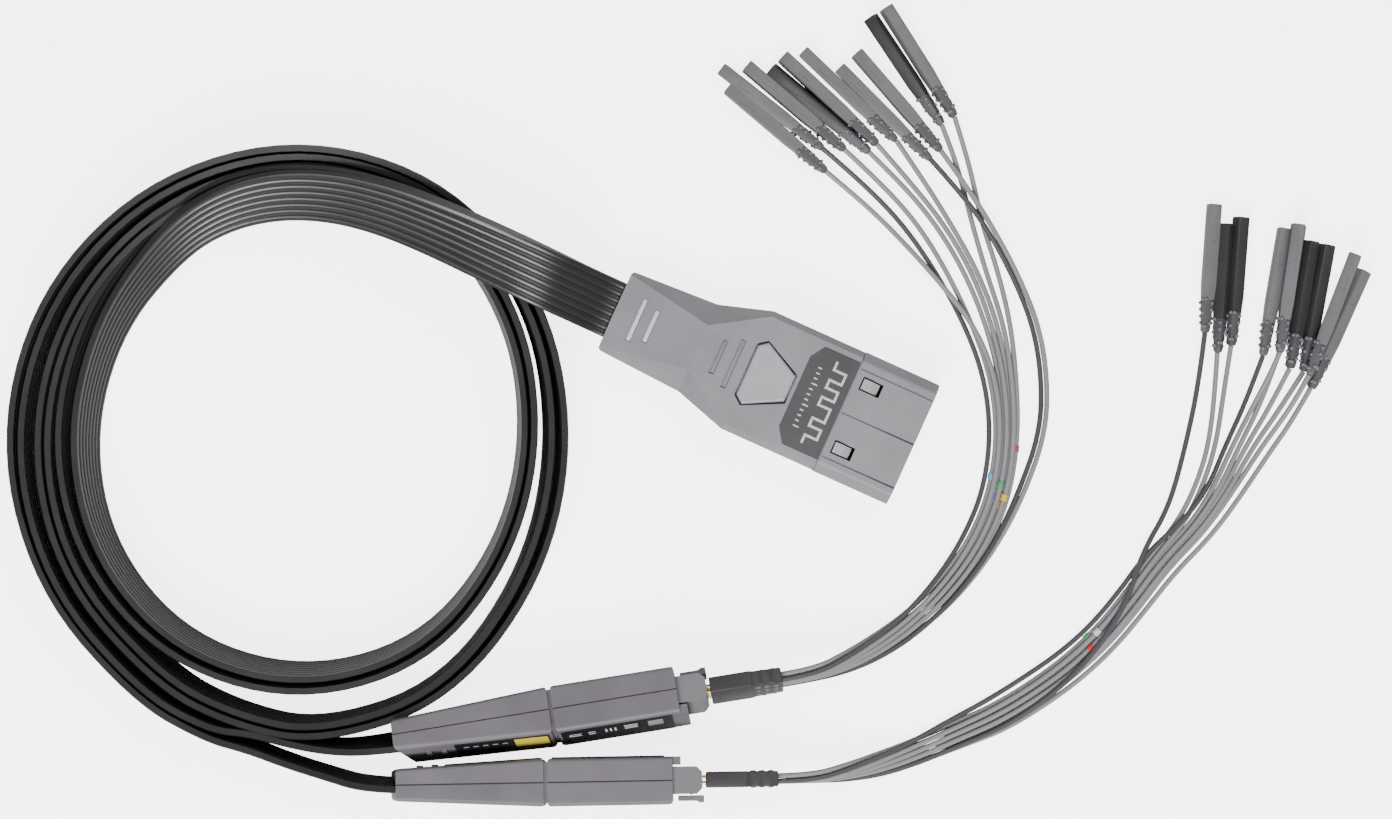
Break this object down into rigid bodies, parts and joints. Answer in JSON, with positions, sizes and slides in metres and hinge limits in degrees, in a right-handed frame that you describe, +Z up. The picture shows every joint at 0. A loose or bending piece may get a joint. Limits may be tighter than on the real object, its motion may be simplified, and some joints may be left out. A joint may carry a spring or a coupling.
{
  "type": "logic analyzer probe set",
  "caption": "Logic analyzer probe set: a scope connector head with a release button, flat ribbon cables in a coil, and pods with plug-in leads that end in pin sockets.",
  "frame": {"origin": "middle of the connector head's base, on the surface that everything lies on", "axes": "+Z up; +X and +Y along the surface. The head points 24.3 degrees below +X; the pods lie towards -Y and point along +X; the cable coil lies towards -X"},
  "size_m": [0.3242, 0.1926, 0.0192],
  "materials": {
    "head_shell": "fine matte",
    "head_button": "fine matte",
    "label_grey": "satin film",
    "pod_shell": "fine matte",
    "label_black": "satin film",
    "plug_grey": "fine matte",
    "boot_dark": "moulded",
    "insert_black": "moulded",
    "board_green": "laminate",
    "gold": "plated",
    "steel": "plain",
    "ribbon_black": "satin",
    "lead_light": "satin",
    "lead_dark": "satin",
    "socket_grey": "fine matte"
  },
  "bodies": {
    "set": {"head_top_shell": "head_shell", "head_bottom_shell": "head_shell", "connector_housing": "head_shell", "connector_insert": "insert_black", "connector_contacts": "gold", "head_board": "board_green", "return_spring": "steel", "latch_pin": "steel", "cable_clamp": "insert_black", "head_screws": "steel", "head_label": "label_grey", "pod_a_front_shell": "pod_shell", "pod_a_back_shell": "pod_shell", "pod_a_label": "label_black", "pod_a_board": "board_green", "pod_a_header": "insert_black", "pod_b_front_shell": "pod_shell", "pod_b_back_shell": "pod_shell", "pod_b_label": "label_black", "pod_b_board": "board_green", "pod_b_header": "insert_black", "pod_pins": "gold", "ribbon_coil": "ribbon_black", "ribbon_head_run": "ribbon_black", "ribbon_tail_a": "ribbon_black", "ribbon_tail_b": "ribbon_black"},
    "button": {"release_button": "head_button"},
    "lever": {"latch_lever": "head_button"},
    "plug_a": {"plug_a_housing": "plug_grey", "plug_a_contacts": "gold", "lead_boot_a": "boot_dark", "lead_a1": "lead_light", "lead_a2": "lead_dark", "lead_a3": "lead_light", "lead_a4": "lead_light", "lead_a5": "lead_light", "lead_a6": "lead_light", "lead_a7": "lead_dark", "lead_a8": "lead_light", "lead_a9": "lead_light", "lead_a10": "lead_light", "sockets_a": "socket_grey", "socket_contacts_a": "gold"},
    "latch_a": {"plug_a_latch": "plug_grey"},
    "plug_b": {"plug_b_housing": "plug_grey", "plug_b_contacts": "gold", "lead_boot_b": "boot_dark", "lead_b1": "lead_dark", "lead_b2": "lead_light", "lead_b3": "lead_light", "lead_b4": "lead_dark", "lead_b5": "lead_light", "lead_b6": "lead_light", "lead_b7": "lead_light", "lead_b8": "lead_light", "lead_b9": "lead_light", "lead_b10": "lead_light", "sockets_b": "socket_grey", "socket_contacts_b": "gold"},
    "latch_b": {"plug_b_latch": "plug_grey"}
  },
  "joints": [
    {"name": "button_press", "type": "slide", "parent": "set", "child": "button", "axis": [0, 0, -1], "range_m": [0, 0.0007], "stiffness_N_per_m": 200, "springref_m": -0.002, "deforming": ["return_spring"]},
    {"name": "lever_tilt", "type": "hinge", "parent": "set", "child": "lever", "pos_m": [-0.01176, 0.00531, 0.0091], "axis": [0.4115, 0.9114, 0], "range_deg": [0, 2.9]},
    {"name": "plug_a_pull", "type": "slide", "parent": "set", "child": "plug_a", "axis": [0.9871, 0.1599, 0], "range_m": [0, 0.008]},
    {"name": "plug_b_pull", "type": "slide", "parent": "set", "child": "plug_b", "axis": [0.9998, 0.0174, 0], "range_m": [0, 0.008]},
    {"name": "latch_a_squeeze", "type": "hinge", "parent": "plug_a", "child": "latch_a", "pos_m": [-0.01655, -0.07232, 0.00869], "axis": [0.0494, -0.305, -0.9511], "range_deg": [0, 4], "stiffness_Nm_per_rad": 0.01, "springref_deg": -11.46},
    {"name": "latch_b_squeeze", "type": "hinge", "parent": "plug_b", "child": "latch_b", "pos_m": [-0.01726, -0.09872, 0.00917], "axis": [-0.002, 0.1132, 0.9936], "range_deg": [0, 4], "stiffness_Nm_per_rad": 0.01, "springref_deg": -11.46}
  ],
  "couplings": [
    {"joint": "lever_tilt", "follows": "button_press", "rad_per_m": 71.43}
  ]
}
